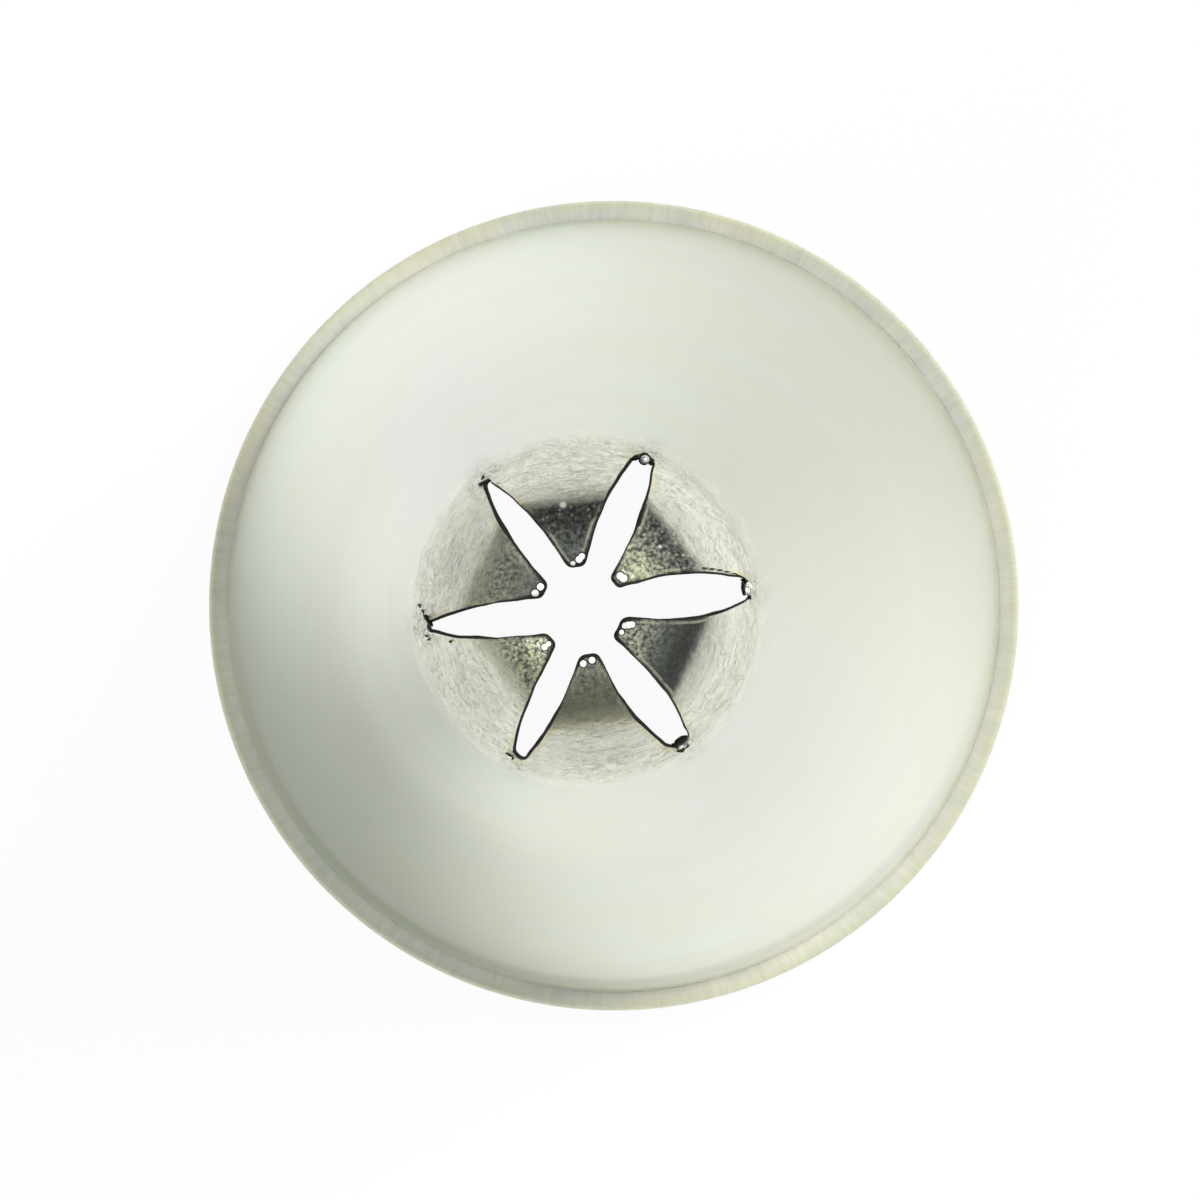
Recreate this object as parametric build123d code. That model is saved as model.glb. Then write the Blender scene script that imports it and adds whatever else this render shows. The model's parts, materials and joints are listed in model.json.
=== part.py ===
"""A closed-star piping nozzle of stainless steel, standing on its wide end.

A drawn sheet cone has a short straight skirt at the foot. At the top it ends in a ring of
teeth that are bent in over the mouth, with a slot between each two. A plain ring is pressed
round the skirt and makes the rim.

Millimetres and degrees. +Z runs up the nozzle's axis from the foot to the mouth, the origin
is the centre of the foot, and +X runs along the first slot of the star.
"""

from build123d import *

import os
from math import isclose, radians, tan

# The whole nozzle
rim_diameter = 18.0  # across the rim ring, its widest place
nozzle_height = 31.0  # from the foot to the ends of the teeth
cut_overrun = 1.0  # how far a cut runs past what it cuts

# The drawn cone
sheet_thickness = 0.4
skirt_height = 1.7  # of the straight stretch that carries the rim ring
skirt_bend_radius = 1.2  # outside, from the skirt to the cone
neck_diameter = 6.7  # outside, where the cone ends and the crown begins
neck_bend_radius = 1.6  # outside, from the cone to the crown

# The crown: the cone's end, slit into teeth that are bent inwards
crown_slope = 66.0  # of the teeth's outer stretch, up from level
knee_diameter = 4.1  # where the teeth bend in over the mouth
knee_bend_radius = 0.65  # outside
tooth_slope = 8.0  # of the teeth's inner stretch, up from level
mouth_radius = 0.81  # from the axis to the teeth's ends
tooth_nose_radius = 0.1  # of the rounded corners at the teeth's ends
nose_limit_share = 0.55  # of the narrowest tooth's end, which no rounding may pass

# The star's slots, as seen along the axis
slot_root_radius = 3.18  # from the axis to the slots' outer ends
slot_widest_radius = 1.85  # from the axis to the slots' widest place
slot_width = 0.66  # of an average slot at its widest

# No two slots are quite alike, as the teeth are bent in one by one. Each row is a slot's turn
# as a share of the pitch, its width and its drift to the left as shares of slot_width, and
# its widths at the inner and at the outer end as shares of its own width.
slot_shares = [
    (0.000, 1.27, 0.08, 0.48, 0.55),
    (0.023, 1.08, 0.01, 0.64, 0.53),
    (0.018, 0.87, -0.06, 0.83, 0.20),
    (-0.023, 0.96, 0.09, 1.08, 0.16),
    (-0.025, 0.88, 0.15, 0.75, 0.41),
    (0.021, 1.12, -0.07, 0.35, 0.60),
]

# The rim ring
ring_thickness = 0.4
ring_height = 1.5
ring_clearance = 0.02  # between the ring's bore and the skirt
ring_outer_round = 0.12
ring_inner_chamfer = 0.05

# What follows from those sizes
ring_outer_radius = rim_diameter / 2
ring_inner_radius = ring_outer_radius - ring_thickness
skirt_radius = ring_inner_radius - ring_clearance
neck_radius = neck_diameter / 2
knee_radius = knee_diameter / 2
knee_height = nozzle_height - (knee_radius - mouth_radius) * tan(radians(tooth_slope))
neck_height = knee_height - (neck_radius - knee_radius) * tan(radians(crown_slope))
slot_pitch = 360 / len(slot_shares)


def drawn_blank():
    """The cone with its skirt and its bent crown, before the slots are cut."""
    outside = FilletPolyline(
        (skirt_radius, 0),
        (skirt_radius, skirt_height),
        (neck_radius, neck_height),
        (knee_radius, knee_height),
        (mouth_radius, nozzle_height),
        radius=[skirt_bend_radius, neck_bend_radius, knee_bend_radius],
    )
    wall = make_face(offset(outside, amount=sheet_thickness, side=Side.LEFT, closed=True))
    return revolve(Plane.XZ * wall, axis=Axis.Z)


def slot_opening(index):
    """One slot of the star in plan: two bowed sides and a round outer end."""
    turn, width, drift, inner, outer = slot_shares[index]
    half_width = slot_width * width / 2
    half_inner = half_width * inner
    half_outer = half_width * outer
    start = mouth_radius / 2
    end = slot_root_radius - half_outer
    left = ThreePointArc((start, half_inner), (slot_widest_radius, half_width), (end, half_outer))
    tip = ThreePointArc((end, half_outer), (slot_root_radius, 0), (end, -half_outer))
    right = ThreePointArc((end, -half_outer), (slot_widest_radius, -half_width), (start, -half_inner))
    back = Line((start, -half_inner), (start, half_inner))
    opening = make_face([left, tip, right, back])
    return Rot(Z=(index + turn) * slot_pitch) * Pos(0, slot_width * drift) * opening


def star_mouth():
    """The whole mouth in plan: the slots, the round middle and the teeth's rounded ends."""
    mouth = Circle(mouth_radius)
    for index in range(len(slot_shares)):
        mouth += slot_opening(index)
    arcs = mouth.edges().filter_by(GeomType.CIRCLE)
    tooth_ends = [arc for arc in arcs if isclose(arc.radius, mouth_radius)]
    narrowest_end = min(end.length for end in tooth_ends)
    corners = [corner for end in tooth_ends for corner in end.vertices()]
    return fillet(corners, min(tooth_nose_radius, narrowest_end * nose_limit_share))


def nozzle_cone():
    """The drawn cone with the star cut through its crown, along the axis."""
    return drawn_blank() - extrude(star_mouth(), nozzle_height + cut_overrun)


def rim_ring():
    """The plain ring round the skirt, level with its foot."""
    section = Pos(ring_inner_radius, 0) * Rectangle(
        ring_thickness, ring_height, align=(Align.MIN, Align.MIN)
    )
    section = fillet(section.vertices().group_by(Axis.X)[-1], ring_outer_round)
    bore_top = section.vertices().group_by(Axis.X)[0].sort_by(Axis.Y)[-1]
    section = chamfer(bore_top, ring_inner_chamfer)
    return revolve(Plane.XZ * section, axis=Axis.Z)


def main():
    os.makedirs("parts", exist_ok=True)
    export_step(nozzle_cone(), "parts/nozzle_cone.step")
    export_step(rim_ring(), "parts/rim_ring.step")


main()
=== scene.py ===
import bmesh
import bpy
import json
from math import atan2, cos, pi, radians, sin, sqrt, tan
from mathutils import Matrix, Vector, kdtree, noise

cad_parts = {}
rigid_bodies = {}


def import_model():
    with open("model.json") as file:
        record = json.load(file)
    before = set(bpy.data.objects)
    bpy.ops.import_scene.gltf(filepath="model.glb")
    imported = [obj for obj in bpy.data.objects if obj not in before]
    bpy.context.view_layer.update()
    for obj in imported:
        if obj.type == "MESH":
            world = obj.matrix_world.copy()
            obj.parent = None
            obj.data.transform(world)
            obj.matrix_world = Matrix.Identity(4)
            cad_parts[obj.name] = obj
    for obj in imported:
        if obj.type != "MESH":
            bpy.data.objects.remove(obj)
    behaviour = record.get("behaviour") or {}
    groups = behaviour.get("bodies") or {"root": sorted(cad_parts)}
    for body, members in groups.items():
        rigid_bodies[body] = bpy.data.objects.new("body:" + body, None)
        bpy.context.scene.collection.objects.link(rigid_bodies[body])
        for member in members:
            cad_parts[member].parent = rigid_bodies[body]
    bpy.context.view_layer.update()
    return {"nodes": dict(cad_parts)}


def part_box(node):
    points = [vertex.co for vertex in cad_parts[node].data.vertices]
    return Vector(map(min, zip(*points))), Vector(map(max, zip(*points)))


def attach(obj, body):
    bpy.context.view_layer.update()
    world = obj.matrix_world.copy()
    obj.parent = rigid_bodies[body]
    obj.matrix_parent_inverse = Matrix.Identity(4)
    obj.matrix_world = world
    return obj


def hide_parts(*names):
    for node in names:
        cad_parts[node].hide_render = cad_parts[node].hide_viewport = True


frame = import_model()
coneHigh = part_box("nozzle_cone")[1]
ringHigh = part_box("rim_ring")[1]
mm = 0.001
mergeGap = 1e-7  # points closer than this are one
print("frame loaded:", sorted(frame["nodes"]))


# small helpers

def deselectAll():
    for item in bpy.data.objects:
        item.select_set(False)


def makeActive(piece):
    deselectAll()
    piece.select_set(True)
    bpy.context.view_layer.objects.active = piece


# in edit mode: selects those of a mesh's "verts", "edges" or "faces" that are wanted

def selectWhere(piece, kind, wanted):
    mesh = bmesh.from_edit_mesh(piece.data)
    for item in getattr(mesh, kind):
        item.select_set(wanted(item))
    mesh.select_flush_mode()
    bmesh.update_edit_mesh(piece.data)


def finishPiece(piece, material, node):
    piece.data.materials.clear()
    piece.data.materials.append(material)
    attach(piece, "root")
    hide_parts(node)


def namedRows(names, rows):
    return [dict(zip(names.split(), row)) for row in rows]


def blend(start, end, share):
    return start + (end - start) * share


def easeBetween(low, high, value):
    share = min(max((value - low) / (high - low), 0.0), 1.0)
    return share * share * (3 - 2 * share)


def onCircle(turn, radius):
    return Vector((cos(turn), sin(turn))) * radius


def lineLength(line):
    return sum((end - start).length for start, end in zip(line, line[1:]))


# a polyline's corners rounded to arcs, as a list of close points

def roundedLine(corners, radii, arcSteps=10):
    points = [Vector(corners[0])]
    for before, corner, after, radius in zip(corners, corners[1:], corners[2:], radii):
        corner = Vector(corner)
        back = (Vector(before) - corner).normalized()
        ahead = (Vector(after) - corner).normalized()
        halfTurn = back.angle(ahead) / 2
        reach = radius / tan(halfTurn)
        centre = corner + (back + ahead).normalized() * radius / sin(halfTurn)
        first, last = corner + back * reach - centre, corner + ahead * reach - centre
        sweep = first.angle(last)
        for step in range(arcSteps + 1):
            share = step / arcSteps
            spoke = first * sin(sweep * (1 - share)) + last * sin(sweep * share)
            points.append(centre + spoke / sin(sweep))
    points.append(Vector(corners[-1]))
    return points


# a polyline shifted sideways

def shiftedLine(corners, shift):
    lines = []
    for start, end in zip(corners, corners[1:]):
        along = (Vector(end) - Vector(start)).normalized()
        side = Vector((-along.y, along.x)) * shift
        lines.append((Vector(start) + side, Vector(end) + side))
    shifted = [lines[0][0]]
    for (a, b), (c, d) in zip(lines, lines[1:]):
        cut = (b - a).x * (d - c).y - (b - a).y * (d - c).x
        share = ((c - a).x * (d - c).y - (c - a).y * (d - c).x) / cut
        shifted.append(a + (b - a) * share)
    shifted.append(lines[-1][1])
    return shifted


def heightAt(profile, radius):
    for low, high in zip(profile, profile[1:]):
        if low.x <= radius <= high.x:
            return blend(low.y, high.y, (radius - low.x) / max(high.x - low.x, 1e-9))
    return profile[-1].y if radius > profile[-1].x else profile[0].y


# points on a polyline, at the given shares of its length

def pointsAlong(line, shares):
    steps = [0.0]
    for start, end in zip(line, line[1:]):
        steps.append(steps[-1] + (end - start).length)
    found = []
    for share in shares:
        goal = share * steps[-1]
        index = 0
        while index < len(line) - 2 and steps[index + 1] < goal:
            index += 1
        span = max(steps[index + 1] - steps[index], 1e-12)
        place = min(max((goal - steps[index]) / span, 0.0), 1.0)
        found.append(line[index].lerp(line[index + 1], place))
    return found


# the height at a place on the arc through three points

def arcHeight(points, along):
    (x1, y1), (x2, y2), (x3, y3) = points
    s1, s2, s3 = x1 * x1 + y1 * y1, x2 * x2 + y2 * y2, x3 * x3 + y3 * y3
    d = 2 * (x1 * (y2 - y3) + x2 * (y3 - y1) + x3 * (y1 - y2))
    cx = (s1 * (y2 - y3) + s2 * (y3 - y1) + s3 * (y1 - y2)) / d
    cy = (s1 * (x3 - x2) + s2 * (x1 - x3) + s3 * (x2 - x1)) / d
    return cy + sqrt((x2 - cx) ** 2 + (y2 - cy) ** 2 - (along - cx) ** 2)


# the drawn shell

shell = {
    "sheet": 0.4 * mm,
    "skirtHeight": 1.7 * mm,
    "skirtBend": 1.2 * mm,
    "neckRadius": 3.35 * mm,
    "neckBend": 1.6 * mm,
    "crownSlope": radians(66),
    "kneeRadius": 2.05 * mm,
    "kneeBend": 0.65 * mm,
    "kneeFollow": 0.6,  # how far each tooth's knee goes along with the end of its pressed face
    "toothSlope": radians(8),
    "toothStraight": 0.3 * mm,  # of a tooth's end, that a shifted knee leaves alone
    "toothDome": 0.035 * mm,
    "mouthRadius": 0.81 * mm,
    "mouthOverrun": 0.2 * mm,  # how far the profile runs on past the teeth's ends
    "noseReach": 0.17 * mm,  # how far a tooth's rounded corner runs along its sides
    "noseLimit": 0.45,  # the same as a share of the tooth's end
    "slotRoot": 3.18 * mm,
    "slotWidest": 1.85 * mm,
    "slotWidth": 0.66 * mm,
    "baseRadius": 3.44 * mm,  # the first full circle of points below the slots
    "baseShare": 0.75,  # how wide a slot's columns still are there, as a share of its end
    "baseMargin": 0.1 * mm,
    "cutSlant": 0.032 * mm,  # the slots are this much wider outside than inside, on each side
    "slantSpan": (1.6 * mm, 2.2 * mm),  # over which the walls take their own slants
    "waveLength": 0.45 * mm,  # the cut edges run a little unevenly
    "waveDepth": 0.02 * mm,
    "leanLength": 0.9 * mm,
    "leanDepth": 0.7,  # of the slant's own unevenness, as a share of cutSlant
    "edgeRound": 0.035 * mm,  # along the slots
    "endRound": 0.13 * mm,  # over the teeth's ends
    "endRoundSpan": (0.05 * mm, 0.35 * mm),  # from the mouth, where one goes over to the other
    "footRound": 0.08 * mm,
    "scuffPlace": 0.05 * mm,  # the middle of the scuffs beyond a slot's end
    "scuffSpan": (0.1 * mm, 0.5 * mm),  # and how far round it they fade out
    "toothColumns": 34,
    "slotColumns": 6,
    "slotRows": 30,
    "coneRows": 34,
    "coneCrowding": 1.3,  # the wall's rows lie closer together low down
}

# each slot's turn as a share of the pitch, width and drift as shares of slotWidth, inner and
# outer widths as shares of its own width, how much shorter it is, in mm, and how strongly the
# metal round its outer end is scuffed
slots = namedRows("turn width drift inner outer short scuff", [
    (0.000, 1.27, 0.08, 0.48, 0.55, 0.00, 0.5),
    (0.023, 1.12, 0.03, 0.63, 0.53, 0.00, 0.6),
    (0.018, 0.87, -0.03, 0.83, 0.20, 0.07, 1.0),
    (-0.023, 0.96, 0.09, 1.08, 0.16, 0.15, 1.0),
    (-0.025, 0.88, 0.12, 0.75, 0.41, 0.06, 0.9),
    (0.021, 1.16, -0.09, 0.35, 0.60, 0.00, 0.7),
])

# each slot's left wall and right wall: how steeply it is cut beside the crown, and how far it
# bows out from its arc at the four bowPlaces, in mm
bowPlaces = [1.2, 1.8, 2.4, 3.0]
slotWalls = [
    ((1.2, -0.018, 0.014, 0.017, 0.037), (1.3, -0.022, 0.010, 0.050, 0.030)),
    ((1.4, -0.043, -0.010, 0.028, 0.064), (2.2, -0.034, -0.006, 0.010, -0.012)),
    ((1.9, -0.026, -0.006, 0.040, 0.060), (1.6, -0.026, 0.009, 0.005, -0.040)),
    ((1.9, -0.030, 0.002, 0.040, 0.045), (1.4, -0.016, -0.010, 0.016, 0.036)),
    ((2.2, -0.010, 0.028, 0.018, -0.010), (1.2, -0.018, -0.012, 0.036, 0.064)),
    ((1.5, -0.050, -0.034, 0.002, -0.034), (1.4, -0.052, 0.000, 0.044, 0.088)),
]

# each tooth: its end moved out, where its pressed face ends and how softly, in mm, how light the
# face is at the end and at the knee, partly its own dull grey and partly painted reflection of the
# dark overhead, how grainy it is there, how light its outer stretch is painted beside the knee and
# farther out, as painted shade, and how brown the metal is there
toothNames = "shift faceEnd softness endLevel kneeLevel endGrain kneeGrain near far brown"
teeth = namedRows(toothNames, [
    (-0.02, 2.27, 0.16, 0.60, 0.075, 0.45, 0.65, 0.84, 0.99, 0.2),
    (0.02, 2.06, 0.10, 0.14, 0.046, 0.28, 0.42, 0.58, 0.905, 0.2),
    (-0.01, 1.95, 0.42, 0.16, 0.21, 0.20, 0.40, 0.665, 0.775, 0.3),
    (0.00, 1.76, 0.15, 0.56, 0.23, 0.60, 0.55, 0.93, 1.07, 0.5),
    (0.05, 2.06, 0.30, 0.20, 0.14, 0.25, 0.07, 0.61, 0.79, 1.0),
    (-0.05, 2.27, 0.12, 0.24, 0.048, 0.60, 0.10, 0.57, 0.935, 0.2),
])

# where those marks change along a tooth, in mm from the axis or from its face's end
markSpans = {
    "level": (0.9, -0.2),
    "grain": (1.1, 1.9),
    "beside": 0.6,
    "crown": (2.7, 3.3),
    "brown": (1.0, 1.5),
    "brownEnd": 0.5,
}
slotCount = len(slots)
pitch = 2 * pi / slotCount
roundSteps = [0, 0.06, 0.234, 0.5, 1]  # places over a rounded edge, as shares of its radius
outlineSteps = {"side": 80, "tip": 10, "toothEnd": 20, "nose": 12, "slotEnd": 12}
skirtRadius = coneHigh.x
topHeight = coneHigh.z
kneeDrop = (shell["kneeRadius"] - shell["mouthRadius"]) * tan(shell["toothSlope"])
crownDrop = (shell["neckRadius"] - shell["kneeRadius"]) * tan(shell["crownSlope"])
kneeHeight = topHeight - kneeDrop
neckHeight = kneeHeight - crownDrop
overrun = shell["mouthOverrun"]

outerCorners = [
    (shell["mouthRadius"] - overrun, topHeight + overrun * tan(shell["toothSlope"])),
    (shell["kneeRadius"], kneeHeight),
    (shell["neckRadius"], neckHeight),
    (skirtRadius, shell["skirtHeight"]),
    (skirtRadius, 0),
    (skirtRadius - shell["sheet"] / 2, 0),
]
innerCorners = shiftedLine(outerCorners[:5], -shell["sheet"])
innerCorners = [tuple(corner) for corner in innerCorners] + [outerCorners[5]]
bends = [shell["kneeBend"], shell["neckBend"], shell["skirtBend"]]
innerBends = [bend - shell["sheet"] for bend in bends]
outerProfile = roundedLine(outerCorners, bends + [shell["footRound"]])
innerProfile = roundedLine(innerCorners, innerBends + [shell["footRound"]])


# the teeth's inner stretch is a little domed: nearly level at the end, steeper at the knee

def toothDome(reach):
    share = (reach - shell["mouthRadius"]) / (shell["kneeRadius"] - shell["mouthRadius"])
    share = min(max(share, 0), 1)
    return shell["toothDome"] * (4 * share * (1 - share))


# plan places, along and across a slot, are turned with the slot

def slotTurn(index):
    return (index + slots[index % slotCount]["turn"]) * pitch


def slotPoint(index, along, across):
    angle = slotTurn(index)
    across += slots[index % slotCount]["drift"] * shell["slotWidth"]
    turnedX = along * cos(angle) - across * sin(angle)
    turnedY = along * sin(angle) + across * cos(angle)
    return Vector((turnedX, turnedY))


def slotEndPlace(index):
    return shell["slotRoot"] - slots[index % slotCount]["short"] * mm


def slotEndRadius(index):
    slot = slots[index % slotCount]
    return shell["slotWidth"] * slot["width"] * slot["outer"] / 2


def wallOf(index, side):
    return slotWalls[index % slotCount][0 if side > 0 else 1]


# how far a slot's side bows out from its arc, at a place along it

def sideBow(index, side, along):
    bows = wallOf(index, side)[1:]
    bow = bows[0]
    for start, end, first, last in zip(bowPlaces, bowPlaces[1:], bows, bows[1:]):
        bow += (last - first) * easeBetween(start, end, along / mm)
    return bow * mm


# a smooth unevenness along a slot's side, of its own for each slot and seed

def unevenness(along, index, seed):
    return noise.noise(Vector((along, index * 3.7 + seed[0], seed[1])))


# a slot's side in plan: an arc through its inner end, widest place and outer end, with the
# bows and the unevenness of the real cut

def slotSide(index, side, along, widen):
    slot = slots[index % slotCount]
    halfWidth = shell["slotWidth"] * slot["width"] / 2
    halfOuter = halfWidth * slot["outer"]
    start = shell["mouthRadius"] / 2, halfWidth * slot["inner"]
    end = slotEndPlace(index) - halfOuter, halfOuter
    across = arcHeight((start, (shell["slotWidest"], halfWidth), end), along)
    waves = along / shell["waveLength"]
    wave = unevenness(waves, index, (0, side * 2.3))
    ragged = unevenness(waves * 2.3, index, (0, side * 5.1 + (4 if widen > 0 else 0)))
    lean = unevenness(along / shell["leanLength"], index, (9, side * 4.3))
    across += (shell["waveDepth"] * wave + abs(widen) * shell["leanDepth"] * ragged
               + sideBow(index, side, along))
    slant = blend(1, wallOf(index, side)[0], easeBetween(*shell["slantSpan"], along))
    return slotPoint(index, along, side * (across + widen * (slant + shell["leanDepth"] * lean)))


# a point on the round outer end of a slot, by its angle from the slot's own axis

def slotEnd(index, angle, widen):
    radius = slotEndRadius(index)
    centre = slotEndPlace(index) - radius
    sideways = abs(sin(angle))
    along = centre + (radius + widen) * cos(angle)
    reach = radius + widen * blend(1, wallOf(index, angle)[0], sideways)
    reach += sideBow(index, angle, centre) * sideways
    return slotPoint(index, along, reach * sin(angle))


# one side of a tooth in plan, from the mouth's circle to 45 degrees short of the slot's axis

def toothSide(index, side, widen, mouthRadius):
    low, high = shell["mouthRadius"] / 2, shell["slotWidest"]
    for halving in range(40):
        middle = (low + high) / 2
        if slotSide(index, side, middle, widen).length < mouthRadius:
            low = middle
        else:
            high = middle
    last = slotEndPlace(index) - slotEndRadius(index)
    steps, tipSteps = outlineSteps["side"], outlineSteps["tip"]
    line = [
        slotSide(index, side, blend(high, last, step / steps), widen)
        for step in range(steps + 1)
    ]
    for step in range(1, tipSteps + 1):
        line.append(slotEnd(index, side * radians(90 - 45 * step / tipSteps), widen))
    return line


def trimStart(line, reach):
    line = list(line)
    while (line[1] - line[0]).length < reach:
        reach -= (line[1] - line[0]).length
        line.pop(0)
    line[0] = line[0].lerp(line[1], reach / (line[1] - line[0]).length)
    return line


def roundCorner(first, corner, last, share):
    return first * (1 - share) ** 2 + corner * 2 * share * (1 - share) + last * share ** 2


# the borders of a tooth in plan: its two sides, and its end with the rounded corners

def toothBorders(index, widen):
    mouthRadius = shell["mouthRadius"] + widen + teeth[index]["shift"] * mm
    left = toothSide(index, 1, widen, mouthRadius)
    right = toothSide(index + 1, -1, widen, mouthRadius)
    turnLeft, turnRight = atan2(left[0].y, left[0].x), atan2(right[0].y, right[0].x)
    if turnRight < turnLeft:
        turnRight += 2 * pi
    steps = outlineSteps["toothEnd"]
    endArc = [
        onCircle(blend(turnLeft, turnRight, step / steps), mouthRadius)
        for step in range(steps + 1)
    ]
    reach = min(shell["noseReach"], (left[0] - right[0]).length * shell["noseLimit"])
    endLine = trimStart(endArc, reach)
    endLine = trimStart(endLine[::-1], reach)[::-1]
    steps = outlineSteps["nose"]
    half = steps // 2
    sides, noses = [], []
    for line, start in ((left, endLine[0]), (right, endLine[-1])):
        body = trimStart(line, reach)
        nose = [roundCorner(start, line[0], body[0], step / steps) for step in range(steps + 1)]
        sides.append(nose[half:] + body[1:])
        noses.append(nose[:half + 1])
    return sides[0], sides[1], noses[0][::-1] + endLine[1:-1] + noses[1]


def baseTurn(index, side):
    halfWidth = slotEndRadius(index) * shell["baseShare"] + shell["baseMargin"]
    across = slots[index % slotCount]["drift"] * shell["slotWidth"] + side * halfWidth
    return slotTurn(index) + across / shell["baseRadius"]


def onBase(turn):
    return onCircle(turn, shell["baseRadius"])


# rows along a tooth's side, close together over its rounded end and beside the slot's end

nearRows = [shell["endRound"] * share for share in roundSteps + [1.5, 2.1]]
farRows = [0.065 * mm, 0.035 * mm, 0.015 * mm, 0]
middleRows = shell["slotRows"] - len(nearRows) - len(farRows) + 1


def sideShares(length):
    span = length - farRows[0] - nearRows[-1]
    rows = list(nearRows)
    rows += [nearRows[-1] + span * step / (middleRows + 1) for step in range(1, middleRows + 1)]
    rows += [length - gap for gap in farRows]
    return [row / length for row in rows]


# rows from a slot's end down to the base circle, and their share of that way

rootWay = 0.25 * mm
rootShares = [shell["edgeRound"] * share / rootWay for share in roundSteps[1:]]
rootShares += [0.3, 0.5, 0.75, 1]


# how far out a plan point counts on the profile: straight across a tooth near its end and
# round at the crown's foot, so that each tooth bends along a straight line

def reachOnProfile(point, tooth, kneeShift=0):
    turn = (tooth + 0.5) * pitch
    straight = point.x * cos(turn) + point.y * sin(turn)
    bendStart = shell["mouthRadius"] + shell["toothStraight"]
    straight -= kneeShift * easeBetween(bendStart, shell["kneeRadius"], straight)
    roundness = easeBetween(shell["kneeRadius"], shell["slotRoot"], point.length)
    return blend(straight, point.length, roundness)


# the same, with the knee moved part of the way to where that tooth's pressed face ends

def toothReach(point, tooth):
    kneeShift = (teeth[tooth]["faceEnd"] * mm - shell["kneeRadius"]) * shell["kneeFollow"]
    return reachOnProfile(point, tooth, kneeShift)


crownRows = shell["slotRows"] + len(rootShares)
allRows = crownRows + shell["coneRows"]
sectorColumns = shell["toothColumns"] + shell["slotColumns"]
allColumns = sectorColumns * slotCount


# places of the columns across a tooth of that width: close together over the cut edges

def columnShares(width):
    rounding = min(shell["edgeRound"], width * 0.16)
    near = [rounding * share / width for share in roundSteps]
    inner = shell["toothColumns"] - 2 * (len(near) - 1)
    middle = [blend(near[-1], 1 - near[-1], step / inner) for step in range(1, inner)]
    return near + middle + [1 - share for share in near[::-1]]


# where the columns of one tooth lie in plan, row by row

def toothPlan(index, widen):
    left, right, endLine = toothBorders(index, widen)
    turns = baseTurn(index, 1), baseTurn(index + 1, -1)
    edges = []
    for line, turn in ((left, turns[0]), (right, turns[1])):
        points = pointsAlong(line, sideShares(lineLength(line)))
        points += [points[-1].lerp(onBase(turn), share) for share in rootShares]
        edges.append(points)
    steps = [0.0]
    for row in range(crownRows):
        steps.append(steps[-1] + (edges[0][row + 1] - edges[0][row]).length)
    leastWidth = lineLength(endLine) * 0.75
    plan = []
    for row, (start, end) in enumerate(zip(*edges)):
        down = steps[row] / steps[-1]
        across = columnShares(max((end - start).length, leastWidth))
        line = []
        for share, fromEnd in zip(across, pointsAlong(endLine, across)):
            bent = fromEnd.lerp(onBase(blend(turns[0], turns[1], share)), down)
            chord = onBase(turns[0]).lerp(onBase(turns[1]), share)
            plain = endLine[0].lerp(endLine[-1], share).lerp(chord, down)
            line.append(start.lerp(end, share) + bent - plain)
        plan.append(line)
    return plan


# the few columns below a slot's end, between two teeth's columns

def slotPlan(index, widen):
    shares = [step / shell["slotColumns"] for step in range(shell["slotColumns"] + 1)]
    ends = [slotEnd(index, radians(90 * share - 45), widen) for share in shares]
    turns = baseTurn(index, -1), baseTurn(index, 1)
    bases = [onBase(blend(turns[0], turns[1], share)) for share in shares]
    downs = [0] * (shell["slotRows"] + 1) + rootShares
    return [[end.lerp(base, down) for end, base in zip(ends, bases)] for down in downs]


# the whole plan of one skin, with a search tree of the star's outline

def skinPlan(widen):
    line = []
    steps = outlineSteps["slotEnd"]
    for index in range(slotCount):
        left, right, endLine = toothBorders(index, widen)
        line += left[:0:-1] + endLine + right[1:]
        for step in range(1, steps):
            line.append(slotEnd(index + 1, radians(90 * step / steps - 45), widen))
    tree = kdtree.KDTree(len(line))
    for index, point in enumerate(line):
        tree.insert(point.to_3d(), index)
    tree.balance()
    return {
        "teeth": [toothPlan(index, widen) for index in range(slotCount)],
        "slots": [slotPlan(index, widen) for index in range(slotCount)],
        "starLine": line,
        "starTree": tree,
    }


# how far a plan point is from the star's outline

def starDistance(plan, point):
    starLine = plan["starLine"]
    spot, index, distance = plan["starTree"].find(point.to_3d())
    for start, end in ((index - 1, index), (index, (index + 1) % len(starLine))):
        first, last = starLine[start], starLine[end]
        share = (point - first).dot(last - first) / max((last - first).length_squared, 1e-20)
        distance = min(distance, (point - first.lerp(last, min(max(share, 0), 1))).length)
    return distance


def roundDrop(distance, radius):
    if distance >= radius:
        return 0
    return radius - sqrt(radius ** 2 - (radius - distance) ** 2)


def belowBase(profile):
    baseHeight = heightAt(profile, shell["baseRadius"])
    steep = [spot for spot in profile if spot.y < baseHeight]
    return [Vector((shell["baseRadius"], baseHeight))] + steep


coneShares = [
    1 - (1 - step / shell["coneRows"]) ** shell["coneCrowding"]
    for step in range(shell["coneRows"] + 1)
]
outerRows = pointsAlong(belowBase(outerProfile), coneShares)
innerRows = pointsAlong(belowBase(innerProfile), coneShares)


# what the steel's material reads on the shell: how far inside a tooth's pressed face it is, how
# light that is, partly painted reflection, and how grainy, the painted shade of the metal beside
# it and how brown that is, how near the star's edge is, in mm, and if it is cut, scuffed or
# outside

skinMarks = ["pressed", "faceLevel", "graininess", "crownLevel", "brown", "edgeGap", "cut",
             "scuff", "outside"]
plainMarks = {"pressed": -3, "edgeGap": 9, "crownLevel": 1}


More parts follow.
